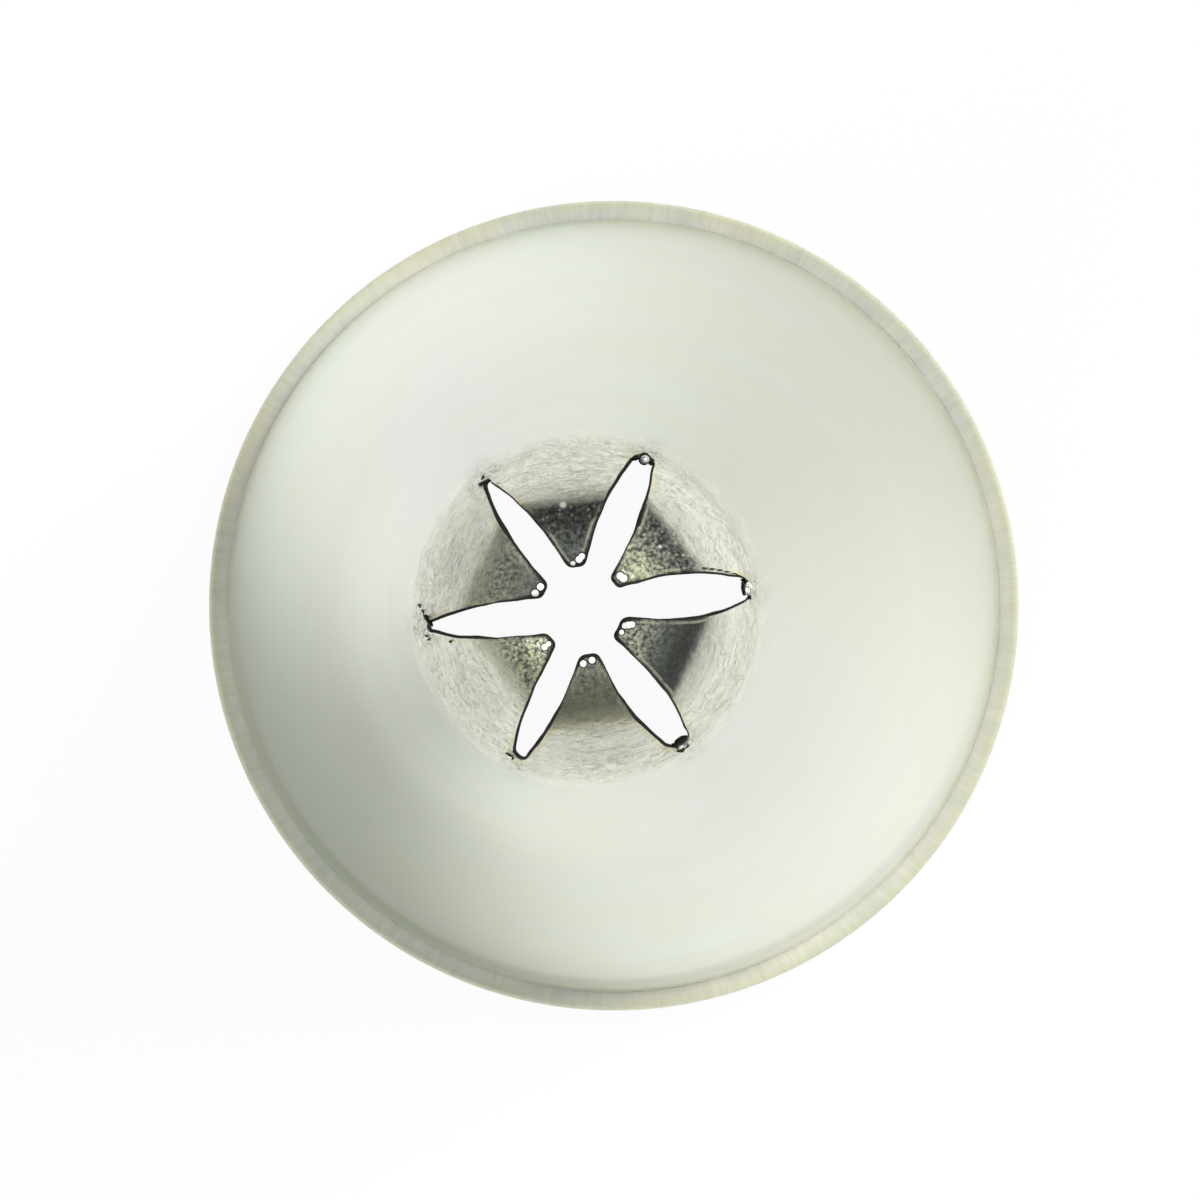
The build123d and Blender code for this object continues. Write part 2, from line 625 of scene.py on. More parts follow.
def toothMarks(point, index):
    tooth = teeth[index]
    along = reachOnProfile(point, index) / mm
    faceEnd = tooth["faceEnd"]
    levelStart, levelEnd = markSpans["level"]
    levelShare = easeBetween(levelStart, faceEnd + levelEnd, along)
    grainShare = easeBetween(*markSpans["grain"], along)
    besideShare = easeBetween(faceEnd, faceEnd + markSpans["beside"], along)
    brownEnd = easeBetween(faceEnd, faceEnd + markSpans["brownEnd"], along)
    beside = blend(tooth["near"], tooth["far"], besideShare)
    return {
        "pressed": min(max((faceEnd - along) / tooth["softness"], -3), 3),
        "faceLevel": blend(tooth["endLevel"], tooth["kneeLevel"], levelShare),
        "graininess": blend(tooth["endGrain"], tooth["kneeGrain"], grainShare),
        # painted shade: each tooth's outer stretch is painted lighter or darker, most beside its
        # knee, fading out at the crown's rim
        "crownLevel": blend(beside, 1, easeBetween(*markSpans["crown"], point.length / mm)),
        "brown": tooth["brown"] * easeBetween(*markSpans["brown"], along) * (1 - brownEnd),
    }


def scuffAt(point):
    level = 0
    for index, slot in enumerate(slots):
        middle = slotPoint(index, slotEndPlace(index) + shell["scuffPlace"], 0)
        gap = (point.to_2d() - middle).length
        level = max(level, slot["scuff"] * (1 - easeBetween(*shell["scuffSpan"], gap)))
    return level


# one point of a skin with its marks

def shellPoint(skin, column, row, outside):
    sector, inSector = divmod(column % allColumns, sectorColumns)
    planRow = min(row, crownRows)
    marks = dict(plainMarks)
    if 0 < inSector < shell["slotColumns"]:
        point = skin["slots"][sector][planRow][inSector]
        reach = point.length
        isBorder = row <= shell["slotRows"]
    else:
        if inSector == 0:
            sector, inSector = (sector - 1) % slotCount, sectorColumns
        inTooth = inSector - shell["slotColumns"]
        point = skin["teeth"][sector][planRow][inTooth]
        reach = toothReach(point, sector)
        marks.update(toothMarks(point, sector))
        atSide = inTooth in (0, shell["toothColumns"])
        isBorder = row == 0 or row <= shell["slotRows"] and atSide
    if row > crownRows:
        spot = (outerRows if outside else innerRows)[row - crownRows]
        point = point.normalized() * spot.x
        return Vector((point.x, point.y, spot.y)), plainMarks
    height = heightAt(outerProfile if outside else innerProfile, reach) + toothDome(reach)
    start, end = [shell["mouthRadius"] + place for place in shell["endRoundSpan"]]
    nearEnd = 1 - easeBetween(start, end, point.length)
    gap = 0 if isBorder else starDistance(skin, point)
    drop = roundDrop(gap, blend(shell["edgeRound"], shell["endRound"], nearEnd))
    marks["edgeGap"] = gap / mm
    marks["cut"] = 1 if isBorder else 0
    return Vector((point.x, point.y, height - drop if outside else height + drop)), marks


# one skin of the shell: a flat grid wrapped round the axis, with the slots taken out

def wrapSkin(outside):
    deselectAll()
    bpy.ops.mesh.primitive_grid_add(x_subdivisions=allColumns, y_subdivisions=allRows, size=1)
    skin = bpy.context.object
    plan = skinPlan(shell["cutSlant"] / 2 if outside else -shell["cutSlant"] / 2)
    for name in skinMarks:
        skin.data.attributes.new(name, "FLOAT", "POINT")
    marks = {name: skin.data.attributes[name] for name in skinMarks}
    for vertex in skin.data.vertices:
        row, column = divmod(vertex.index, allColumns + 1)
        vertex.co, values = shellPoint(plan, column, row, outside)
        values = {**values, "scuff": scuffAt(vertex.co) if outside else 0,
                  "outside": 1 if outside else 0}
        for name, mark in marks.items():
            mark.data[vertex.index].value = values.get(name, 0)
    bpy.ops.object.mode_set(mode="EDIT")
    bpy.ops.mesh.select_mode(type="FACE")
    selectWhere(skin, "faces", lambda face: face.index // allColumns < shell["slotRows"]
                and face.index % sectorColumns < shell["slotColumns"])
    bpy.ops.mesh.delete(type="FACE")
    bpy.ops.object.mode_set(mode="OBJECT")
    return skin


def makeShell():
    inner = wrapSkin(False)
    outer = wrapSkin(True)
    outer.name = "drawnShell"
    makeActive(outer)
    inner.select_set(True)
    bpy.ops.object.join()
    bpy.ops.object.mode_set(mode="EDIT")
    bpy.ops.mesh.select_all(action="SELECT")
    bpy.ops.mesh.remove_doubles(threshold=mergeGap)
    bpy.ops.mesh.select_mode(type="EDGE")
    selectWhere(outer, "edges", lambda edge: edge.is_boundary)
    bpy.ops.mesh.bridge_edge_loops()
    bpy.ops.mesh.select_all(action="SELECT")
    bpy.ops.mesh.normals_make_consistent(inside=False)
    bpy.ops.object.mode_set(mode="OBJECT")
    bpy.ops.object.shade_smooth()
    return outer


drawnShell = makeShell()
print("shell:", len(drawnShell.data.vertices), "points,", len(drawnShell.data.polygons), "faces")


# the rim ring: its section, spun round the axis, drawn tight on the skirt

ring = {
    "outerRound": 0.12 * mm,
    "innerRound": 0.015 * mm,
    "roundSegments": 5,
    "steps": 288,
    "sharpFrom": radians(40),
}


def makeRing():
    outerRadius, height = ringHigh.x, ringHigh.z
    innerRadius = skirtRadius
    deselectAll()
    bpy.ops.mesh.primitive_plane_add(size=1, location=(0, 0, 0), rotation=(pi / 2, 0, 0))
    piece = bpy.context.object
    piece.name = "rimBand"
    bpy.ops.object.mode_set(mode="EDIT")
    bpy.ops.transform.resize(value=(outerRadius - innerRadius, 1, height))
    bpy.ops.transform.translate(value=((outerRadius + innerRadius) / 2, 0, height / 2))
    bpy.ops.object.mode_set(mode="OBJECT")
    bpy.ops.object.transform_apply(location=True, rotation=True, scale=True)
    bpy.ops.object.mode_set(mode="EDIT")
    bpy.ops.mesh.delete(type="ONLY_FACE")
    for edgeX, radius in ((outerRadius, ring["outerRound"]), (innerRadius, ring["innerRound"])):
        bpy.ops.mesh.select_mode(type="VERT")
        selectWhere(piece, "verts", lambda point: abs(point.co.x - edgeX) < mergeGap)
        bpy.ops.mesh.bevel(offset=radius, segments=ring["roundSegments"], affect="VERTICES",
                           profile=0.5)
    bpy.ops.mesh.select_all(action="SELECT")
    bpy.ops.mesh.spin(steps=ring["steps"], angle=2 * pi, center=(0, 0, 0), axis=(0, 0, 1))
    bpy.ops.mesh.select_all(action="SELECT")
    bpy.ops.mesh.remove_doubles(threshold=mergeGap)
    bpy.ops.mesh.normals_make_consistent(inside=False)
    bpy.ops.object.mode_set(mode="OBJECT")
    bpy.ops.object.shade_smooth()
    bpy.ops.object.shade_smooth_by_angle(angle=ring["sharpFrom"])
    return piece


rimBand = makeRing()
print("rim ring:", len(rimBand.data.vertices), "points")


# burrs and torn slivers at the slots' outer ends and along their edges: place in plan, length,
# width and height in mm, turn in degrees, how ragged, and how bright, from black to silver, that
# is how much of it is painted with glint chips

burrs = namedRows("x y length width tall turn raggedness brightness", [
    (3.060, 0.060, 0.08, 0.27, 0.10, 2, 0.20, 0.0),
    (3.098, 0.215, 0.13, 0.09, 0.16, -30, 0.40, 0.0),
    (3.150, -0.120, 0.10, 0.08, 0.16, 30, 0.40, 0.0),
    (3.150, 0.120, 0.13, 0.14, 0.30, 20, 0.35, 1.0),
    (3.115, 0.000, 0.14, 0.16, 0.28, -15, 0.35, 1.0),
    (3.175, 0.055, 0.12, 0.12, 0.28, 50, 0.45, 0.9),
    (2.375, 0.538, 0.19, 0.024, 0.34, -10, 0.08, 0.0),
    (2.513, 0.510, 0.19, 0.024, 0.34, -12, 0.08, 0.0),
    (2.651, 0.474, 0.19, 0.024, 0.34, -15, 0.08, 0.0),
    (2.788, 0.429, 0.19, 0.024, 0.34, -20, 0.08, 0.0),
    (2.924, 0.372, 0.19, 0.024, 0.34, -26, 0.08, 0.0),
    (3.041, 0.307, 0.19, 0.024, 0.34, -34, 0.08, 0.0),
    (1.446, 2.750, 0.25, 0.22, 0.10, 62, 0.12, 0.0),
    (1.450, 2.735, 0.185, 0.175, 0.30, 0, 0.10, 1.0),
    (1.295, 2.785, 0.19, 0.09, 0.15, 15, 0.30, 0.0),
    (1.573, 2.672, 0.10, 0.12, 0.16, -40, 0.40, 0.0),
    (1.548, -2.715, 0.32, 0.16, 0.26, 28, 0.18, 0.0),
    (1.430, -2.790, 0.13, 0.10, 0.16, -35, 0.35, 0.0),
    (1.575, -2.840, 0.30, 0.13, 0.12, 32, 0.40, 0.0),
    (1.515, -2.835, 0.15, 0.09, 0.20, 25, 0.35, 1.0),
    (1.610, -2.810, 0.12, 0.08, 0.18, 40, 0.40, 0.9),
    (1.695, -2.765, 0.09, 0.07, 0.16, 60, 0.45, 1.0),
    (-1.667, 2.640, 0.23, 0.065, 0.16, 16, 0.40, 0.0),
    (-1.700, 2.730, 0.13, 0.035, 0.12, 58, 0.50, 0.0),
    (-3.018, 0.125, 0.29, 0.095, 0.18, -60, 0.22, 0.0),
    (-3.105, 0.285, 0.12, 0.03, 0.12, -68, 0.50, 0.0),
    (-3.175, 0.400, 0.15, 0.014, 0.12, -60, 0.50, 0.0),
    (-3.075, -0.185, 0.12, 0.025, 0.12, -35, 0.50, 0.1),
    (-3.045, -0.225, 0.10, 0.025, 0.12, 50, 0.50, 0.1),
    (-2.600, -0.327, 0.07, 0.055, 0.22, 0, 0.30, 0.0),
    (-1.761, -2.620, 0.13, 0.05, 0.14, -36, 0.45, 0.0),
    (-1.690, -2.690, 0.10, 0.03, 0.12, 30, 0.50, 0.1),
])

burrShape = {
    "sunk": 0.2,  # how deep a burr's middle lies below the surface, as a share of its height
    "subdivisions": 4,
    "roughness": 3.1,
    "seedStep": 5.3,
}


def makeBurr(number, burr):
    deselectAll()
    place = Vector((burr["x"], burr["y"])) * mm
    tooth = int(atan2(place.y, place.x) // pitch) % slotCount
    sunk = burr["tall"] * mm * burrShape["sunk"]
    height = heightAt(outerProfile, toothReach(place, tooth)) - sunk
    bpy.ops.mesh.primitive_ico_sphere_add(subdivisions=burrShape["subdivisions"], radius=0.5)
    lump = bpy.context.object
    seed = Vector((number * burrShape["seedStep"], 0, 0))
    for vertex in lump.data.vertices:
        shove = noise.fractal(vertex.co * burrShape["roughness"] + seed, 0.8, 2.1, 3)
        vertex.co *= 1 + burr["raggedness"] * shove
    bright = lump.data.attributes.new("bright", "FLOAT", "POINT")
    for item in bright.data:
        item.value = burr["brightness"]
    lump.scale = [burr[name] * mm for name in ("length", "width", "tall")]
    lump.rotation_euler = (0, 0, radians(burr["turn"]))
    lump.location = (burr["x"] * mm, burr["y"] * mm, height)
    bpy.ops.object.transform_apply(location=True, rotation=True, scale=True)
    return lump


def makeBurrs():
    lumps = [makeBurr(number, burr) for number, burr in enumerate(burrs)]
    makeActive(lumps[0])
    for lump in lumps:
        lump.select_set(True)
    bpy.ops.object.join()
    piece = bpy.context.object
    piece.name = "slotBurrs"
    bpy.ops.object.shade_smooth()
    return piece


slotBurrs = makeBurrs()
print("burrs:", len(burrs))


# materials: a Value is a node's output that is added, subtracted and multiplied like a number

class Value:
    def __init__(self, socket):
        self.socket = socket

    def __add__(self, other):
        return calc("ADD", self, other)

    def __radd__(self, other):
        return calc("ADD", other, self)

    def __sub__(self, other):
        return calc("SUBTRACT", self, other)

    def __rsub__(self, other):
        return calc("SUBTRACT", other, self)

    def __mul__(self, other):
        return calc("MULTIPLY", self, other)


# a node in the same tree as the Values that it is given, or else in the given tree

def addNode(kind, values, tree=None, **settings):
    for value in values.values():
        if isinstance(value, Value):
            tree = value.socket.id_data
    made = tree.nodes.new("ShaderNode" + kind)
    for name, setting in settings.items():
        setattr(made, name, setting)
    for name, value in values.items():
        socket = made.inputs[name]
        if isinstance(value, Value):
            tree.links.new(value.socket, socket)
        elif isinstance(value, tuple):
            socket.default_value = value + (1,) * (len(socket.default_value) - len(value))
        else:
            socket.default_value = value
    return made


def outOf(made, name=0):
    return Value(made.outputs[name])


def calc(operation, *values):
    return outOf(addNode("Math", dict(enumerate(values)), operation=operation))


def atLeast(least, value):
    return calc("MAXIMUM", value, least)


# a pattern's swing round its middle

def swing(pattern, strength):
    return (pattern - 0.5) * strength


def vectorCalc(operation, *vectors):
    made = addNode("VectorMath", dict(enumerate(vectors)), operation=operation)
    return outOf(made, "Value" if operation in ("DISTANCE", "DOT_PRODUCT", "LENGTH") else 0)


def scaled(vector, scale):
    return outOf(addNode("VectorMath", {0: vector, 3: scale}, operation="SCALE"))


def tinted(colour, tint):
    return vectorCalc("MULTIPLY", colour, tint)


# how far one direction faces the other

def facing(direction, way):
    return vectorCalc("DOT_PRODUCT", direction, way)


# a value between low and high, brought to 0..1 with soft ends

def softStep(value, low, high, fromValue=0, toValue=1):
    values = {"Value": value, "From Min": low, "From Max": high, "To Min": fromValue,
              "To Max": toValue}
    return outOf(addNode("MapRange", values, interpolation_type="SMOOTHSTEP"))


# 1 between two places, with soft ends

def softBand(value, start, fullStart, fullEnd, end):
    return softStep(value, start, fullStart) * softStep(value, fullEnd, end, 1, 0)


def blendNode(share, first, second):
    return calc("MULTIPLY_ADD", share, second - first, first)


def mixColour(share, first, second):
    return outOf(addNode("Mix", {0: share, 6: first, 7: second}, data_type="RGBA"), 2)


def attribute(tree, name):
    return outOf(addNode("Attribute", {}, tree, attribute_name=name), "Fac")


def noiseAt(vector, scale, detail=2, roughness=0.5, distortion=0):
    values = {"Vector": vector, "Scale": scale, "Detail": detail, "Roughness": roughness,
              "Distortion": distortion}
    return outOf(addNode("TexNoise", values), "Fac")


def objectPlace(tree):
    return outOf(addNode("TexCoord", {}, tree), "Object")


# millimetre coordinates: the place itself, the direction from the axis, the radius, the height

def axisPlaces(tree):
    place = scaled(objectPlace(tree), 1000.0)
    parts = addNode("SeparateXYZ", {0: place})
    flat = outOf(addNode("CombineXYZ", {0: outOf(parts, "X"), 1: outOf(parts, "Y")}))
    return {
        "place": place,
        "direction": vectorCalc("NORMALIZE", flat),
        "radius": vectorCalc("LENGTH", flat),
        "height": outOf(parts, "Z"),
    }


# noise on rings round the axis, stretched along the rings or across them

def ringNoise(at, across, alongScale, acrossScale, *settings):
    along = scaled(at["direction"], alongScale)
    lift = outOf(addNode("CombineXYZ", {2: at[across] * acrossScale}))
    return noiseAt(vectorCalc("ADD", along, lift), 1.0, *settings)


def newMaterial(name):
    material = bpy.data.materials.new(name)
    material.use_nodes = True
    material.node_tree.nodes.clear()
    return material, material.node_tree


def closeMaterial(shader):
    addNode("OutputMaterial", {"Surface": outOf(shader)})


def closeSteel(colour, metallic, roughness, level):
    bump = addNode("Bump", {"Height": level, "Distance": 0.001, "Strength": 1.0})
    closeMaterial(addNode("BsdfPrincipled", {
        "Base Color": colour, "Metallic": metallic, "Roughness": roughness, "Normal": outOf(bump),
    }))


# painted highlights over the teeth's ends, standing in for light glinting on their rounded ends:
# place in plan and radius, in mm
glints = [
    (0.841, 0.507, 0.070), (0.785, 0.556, 0.066), (0.105, 1.004, 0.056), (0.044, 0.952, 0.060),
    (-0.079, 0.889, 0.042), (-0.738, 0.519, 0.062), (-0.851, 0.407, 0.062),
    (-0.784, -0.621, 0.056), (-0.705, -0.570, 0.044), (-0.092, -1.014, 0.058),
    (0.079, -0.967, 0.058), (0.905, -0.380, 0.056), (0.838, -0.382, 0.060),
    (0.770, -0.386, 0.054), (0.694, -0.505, 0.044),
]

# pale flecks at the teeth's knees, in the same way
paleFlecks = [(-0.149, 2.025, 0.075), (1.595, 1.030, 0.042), (1.250, 1.420, 0.034)]

wallSteel = {
    "colour": (0.655, 0.68, 0.585),
    "coolColour": (0.66, 0.69, 0.62),
    # painted highlight: the skirt's foot bend is painted lighter, standing in for a brighter
    # reflection there
    "footColour": (0.95, 0.96, 0.90),
    "crownColour": (0.86, 0.88, 0.74),
    "scratchColour": (0.24, 0.24, 0.19),
    "paleColour": (0.80, 0.82, 0.70),
    # painted sparkle highlights on the grain of the pressed faces
    "sparkColour": (0.78, 0.82, 0.60),
    # painted highlight along the rounded edges of the pressed faces
    "edgeColour": (0.42, 0.44, 0.30),
    # painted highlight colour of the glints
    "glintColour": (0.96, 0.96, 0.92),
    "scuffColour": (0.10, 0.10, 0.08),
    # painted shade: nearly black on the cut walls, round the teeth's tips and round the glints
    "cutColour": (0.034, 0.030, 0.027),
    "darkFaceTint": (0.94, 1.03, 0.93),
    "lightFaceTint": (1.0, 1.04, 0.73),
    # painted reflection tint: the lower wall is yellower away from the across ways, where the
    # floor that it mirrors lies in shadow
    "acrossTint": (0.985, 1.0, 0.94),
    # painted shadow tint: the lower wall is cooler on the shaded side
    "shadedTint": (0.975, 1.0, 0.945),
    "brownTint": (1.0, 0.975, 0.80),
    "fringeTint": (1.0, 0.90, 0.62),
    "faceContrast": 11.0,  # between the grains of the teeth's pressed faces
    "roughness": 0.30,
    "crownSpan": (2.95, 3.6),  # radii over which the crown goes over to the wall, in mm
    "roughSpan": (3.1, 3.9),  # the same for its bumps
}

# the wall's ways in plan that are tinted or shaded; all but the cool one carry painted light: a
# lighter painted reflection across, painted shade on the shaded side and in the crease
wallWays = {
    "cool": (-0.94, 0.34, 0),
    "across": (-0.625, 0.780, 0),
    "shaded": (-0.87, -0.49, 0),
    "crease": (-0.26, -0.966, 0),
}

# its shades: strengths, and the heights that they lie between, in mm; all but the cool tint, the
# bands and the turned lines are painted light and painted shade
wallShades = {
    "cool": 0.12,
    "coolSpan": (0.42, 0.60),
    "bands": 0.10,
    "turned": 0.06,
    "lowSpan": (3.0, 25.0),
    "across": 0.17,
    "low": 0.04,
    "shaded": 0.09,
    "foot": 0.12,
    "footSpan": (2.0, 3.1),
    "neck": 0.18,
    "neckSpan": (16.0, 23.0),
    "crease": 0.16,
    "creaseBand": (2.2, 2.7, 3.2, 3.9),
    "seatSpan": (1.65, 1.9),
}
crownShades = {"dents": 0.45, "scratches": 0.25, "grain": 0.95}

# patterns by place: scale, detail, roughness and distortion
placePatterns = {
    "ragged": (2.6, 4, 0.65),
    "blotches": (0.22, 2, 0.5),
    "dents": (2.4, 4, 0.65),
    "grain": (8.0, 3, 0.7, 0.5),
    "grainPatches": (0.9, 2, 0.5),
    "speckle": (13.0, 2, 0.6),
    "specks": (6.0, 3, 0.7, 0.8),
    "fringePatches": (1.4, 2, 0.6),
    "wornPatches": (1.1, 3, 0.6),
    "flecks": (11.0, 4, 0.75, 1.5),
}

# patterns on rings: what lies across them, scales along and across, and the same settings
ringPatterns = {
    "bands": ("height", 0.5, 0.75, 2, 0.5),
    "turned": ("height", 1.5, 20, 2, 0.6),
    "scratches": ("radius", 4, 14, 4, 0.7, 0.6),
    "crossScratches": ("radius", 26, 2.5, 3, 0.6, 0.8),
    "hairs": ("radius", 5, 6, 3, 0.6, 1.2),
    "paleLines": ("radius", 11, 5, 4, 0.7, 1.4),
}

# how strongly the finer marks cover what lies under them
cover = {
    "specks": 0.6,
    "paleLines": 0.40,
    "hairs": 0.30,
    "crossScratches": 0.35,
    "sparks": 0.35,
    "kneeFlecks": 0.7,
    "fringe": 0.75,
    "worn": 0.6,
    "tip": 0.9,
    "scuff": 0.8,
    "glintRim": 0.8,
}

# how far from a slot's edge its marks lie, in mm
edgeSpans = {
    "fringe": (0.01, 0.03, 0.05, 0.11),
    "worn": (0.025, 0.045, 0.065, 0.10),
    "tip": (0.02, 0.065),
}

# how high the patterns stand, in mm
wallBumps = {"bands": 0.010, "turned": 0.0012}
crownBumps = {"dents": 0.06, "scratches": 0.008, "crossScratches": 0.005, "grain": 0.008}
fineBumps = {"hairs": 0.010, "speckle": 0.009, "flecks": 0.02}


# how near a place is to the nearest of some spots, as a share of that spot's radius

def spotReach(place, spots):
    flat = vectorCalc("MULTIPLY", place, (1, 1, 0))
    nearest = 9.0
    for x, y, radius in spots:
        gap = vectorCalc("DISTANCE", flat, (x, y, 0))
        nearest = calc("MINIMUM", nearest, calc("DIVIDE", gap, radius * 1.12))
    return nearest


# the marks, the patterns, and what is made from several of them

def steelValues(tree):
    at = axisPlaces(tree)
    at.update({name: attribute(tree, name) for name in skinMarks})
    at.update({name: noiseAt(at["place"], *row) for name, row in placePatterns.items()})
    at.update({name: ringNoise(at, *row) for name, row in ringPatterns.items()})
    ragged = at["ragged"] - 0.5
    at["pressed"] = softStep(at["pressed"] + ragged * 2.2, -1.0, 1.0) * at["outside"]
    at["crown"] = softStep(at["radius"] + ragged * 0.7, *wallSteel["crownSpan"], 1, 0)
    at["grainPatches"] = softStep(at["grainPatches"], 0.38, 0.56, 0.35, 1)
    cells = addNode("TexVoronoi", {"Vector": at["place"], "Scale": 9.0}, voronoi_dimensions="2D")
    cellLevel = outOf(addNode("SeparateXYZ", {0: outOf(cells, "Color")}))
    sparks = softStep(outOf(cells, "Distance"), 0.10, 0.36, 1, 0) * softStep(cellLevel, 0.55, 0.95)
    at["sparks"] = sparks * softStep(at["graininess"], 0.2, 0.6)
    hairs = softStep(calc("ABSOLUTE", at["hairs"] - 0.5), 0.004, 0.016, 1, 0)
    at["hairs"] = hairs * at["crown"] * at["grainPatches"]
    at["flecks"] = softStep(at["flecks"], 0.54, 0.66)
    # painted highlights over the teeth's ends, each with a painted dark rim
    nearGlint = spotReach(at["place"], glints)
    at["glint"] = softStep(nearGlint, 0.85, 1.05, 1, 0) * at["outside"]
    glintRim = softStep(nearGlint, 1.2, 1.6, 1, 0) * at["outside"]
    at["glintRim"] = glintRim * softStep(at["radius"], 1.15, 1.3, 1, 0)
    return at


def wallColour(at):
    height = at["height"]
    way = {name: facing(at["direction"], to) for name, to in wallWays.items()}
    tint = softStep(at["blotches"] + way["cool"] * wallShades["cool"], *wallShades["coolSpan"])
    colour = mixColour(tint, wallSteel["colour"], wallSteel["coolColour"])
    shade = 1.0 + swing(at["bands"], wallShades["bands"])
    shade = shade + swing(at["turned"], wallShades["turned"])
    colour = scaled(colour, shade)
    # painted light from here on: the lower wall is painted lighter across and darker on the shaded
    # side, as the floor that it mirrors is lit or in the nozzle's shadow
    low = softStep(height, *wallShades["lowSpan"], 1, 0)
    across = way["across"] * way["across"]
    colour = mixColour(across, tinted(colour, wallSteel["acrossTint"]), colour)
    lift = across * wallShades["across"] - wallShades["low"]
    lift = lift - way["shaded"] * wallShades["shaded"]
    shade = calc("MULTIPLY_ADD", low, lift, 1.0)
    # a painted lift low on the wall
    shade = shade + softStep(height, *wallShades["footSpan"], wallShades["foot"], 0)
    # painted light near the neck on the shaded side
    shaded = atLeast(0.0, way["shaded"])
    neck = softStep(height, *wallShades["neckSpan"]) * shaded
    shade = calc("MULTIPLY_ADD", neck, wallShades["neck"], shade)
    # painted shade in the crease above the foot, on one side
    crease = softBand(height, *wallShades["creaseBand"]) * atLeast(0.0, way["crease"])
    colour = scaled(colour, shade - crease * wallShades["crease"])
    # the lower shaded side is painted cooler, as in shadow
    colour = mixColour(low * shaded, colour, tinted(colour, wallSteel["shadedTint"]))
    # painted highlight on the skirt's foot bend
    footSheen = softStep(height, *wallShades["seatSpan"], 1, 0)
    return mixColour(footSheen, colour, wallSteel["footColour"])


# the crown: battered, with specks, pale lines, hairs and scratches across, and painted shade per
# tooth and beside the teeth's knees

def crownOver(colour, at):
    shade = 1.0 + swing(at["dents"], crownShades["dents"])
    shade = shade + swing(at["scratches"], crownShades["scratches"])
    shade = shade + swing(at["grain"], at["grainPatches"] * crownShades["grain"])
    # painted shade per tooth and beside its knee
    battered = scaled(wallSteel["crownColour"], shade * at["crownLevel"])
    colour = mixColour(at["crown"], colour, battered)
    specks = softStep(at["specks"], 0.66, 0.72) * at["crown"] * cover["specks"]
    colour = mixColour(specks, colour, wallSteel["scratchColour"])
    lines = softStep(at["paleLines"], 0.60, 0.68) * at["crown"] * cover["paleLines"]
    colour = mixColour(lines, colour, wallSteel["paleColour"])
    colour = mixColour(at["hairs"] * cover["hairs"], colour, wallSteel["scratchColour"])
    marks = softStep(at["crossScratches"], 0.58, 0.76) * at["crown"] * cover["crossScratches"]
    return mixColour(marks, colour, wallSteel["scratchColour"])


# the teeth's pressed faces: dull and grainy, lighter towards the ends; their darkness is partly
# their own dull grey and partly painted reflection of the dark overhead, with painted sparkle
# highlights on the grain

def facesOver(colour, at):
    contrast = 1.0 + swing(at["speckle"], at["graininess"] * wallSteel["faceContrast"])
    # the faces' level: partly the pressed metal's own dull grey, partly painted reflection of the
    # dark overhead
    level = at["faceLevel"] * atLeast(0.3, contrast)
    lightness = softStep(level, 0.06, 0.4)
    tint = mixColour(lightness, wallSteel["darkFaceTint"], wallSteel["lightFaceTint"])
    # painted sparkle highlights on the pale grains
    sparks = at["sparks"] * cover["sparks"]
    face = mixColour(sparks, scaled(tint, level), wallSteel["sparkColour"])
    colour = mixColour(at["pressed"], colour, face)
    flecked = softStep(spotReach(at["place"], paleFlecks), 0.3, 1.1, cover["kneeFlecks"], 0)
    colour = mixColour(flecked, colour, wallSteel["paleColour"])
    return mixColour(at["brown"], colour, tinted(colour, wallSteel["brownTint"]))


# warm edges along the slots, a painted highlight along the pressed faces' rounded edges, scuffs at
# their outer ends, painted shade on the cut walls and the teeth's tips, and painted glints with
# painted dark rims

def edgesOver(colour, at):
    gap = at["edgeGap"]
    fringe = softStep(at["fringePatches"], 0.40, 0.55, 0, cover["fringe"])
    fringe = softBand(gap, *edgeSpans["fringe"]) * fringe * (1.0 - at["pressed"])
    colour = mixColour(fringe, colour, tinted(colour, wallSteel["fringeTint"]))
    # a painted highlight along the rounded edges of the pressed faces
    worn = softBand(gap, *edgeSpans["worn"]) * softStep(at["wornPatches"], 0.47, 0.56)
    worn = worn * (at["pressed"] * cover["worn"])
    colour = mixColour(worn, colour, wallSteel["edgeColour"])
    # painted shade along the teeth's tips
    tip = softStep(gap, *edgeSpans["tip"], 1, 0)
    tip = tip * softStep(at["radius"], 1.0, 1.45, cover["tip"], 0)
    colour = mixColour(tip * at["outside"], colour, wallSteel["cutColour"])
    scuffed = at["flecks"] * at["scuff"] * cover["scuff"]
    colour = mixColour(scuffed, colour, wallSteel["scuffColour"])
    # painted dark rims round the painted highlights
    colour = mixColour(at["glintRim"] * cover["glintRim"], colour, wallSteel["cutColour"])
    # the cut walls are painted in shade
    colour = mixColour(softStep(at["cut"], 0.5, 0.95), colour, wallSteel["cutColour"])
    return mixColour(at["glint"], colour, wallSteel["glintColour"])


def bumpSum(at, bumps):
    first, *others = [at[name] * depth for name, depth in bumps.items()]
    return sum(others, first)


def makeShellSteel():
    material, tree = newMaterial("polishedSteel")
    at = steelValues(tree)
    colour = edgesOver(facesOver(crownOver(wallColour(at), at), at), at)
    roughness = wallSteel["roughness"] + at["bands"] * 0.08
    # the painted highlights are less metallic, so that they show white
    metallic = 1.0 - at["pressed"] * 0.65 - at["glint"] * 0.35
    rough = bumpSum(at, crownBumps) - at["hairs"] * fineBumps["hairs"]
    rough = rough * softStep(at["radius"], *wallSteel["roughSpan"], 1, 0)
    level = bumpSum(at, wallBumps) + rough
    level = level + at["speckle"] * at["pressed"] * fineBumps["speckle"]
    level = level - at["flecks"] * at["scuff"] * fineBumps["flecks"]
    closeSteel(colour, atLeast(0.0, metallic), roughness, level)
    return material


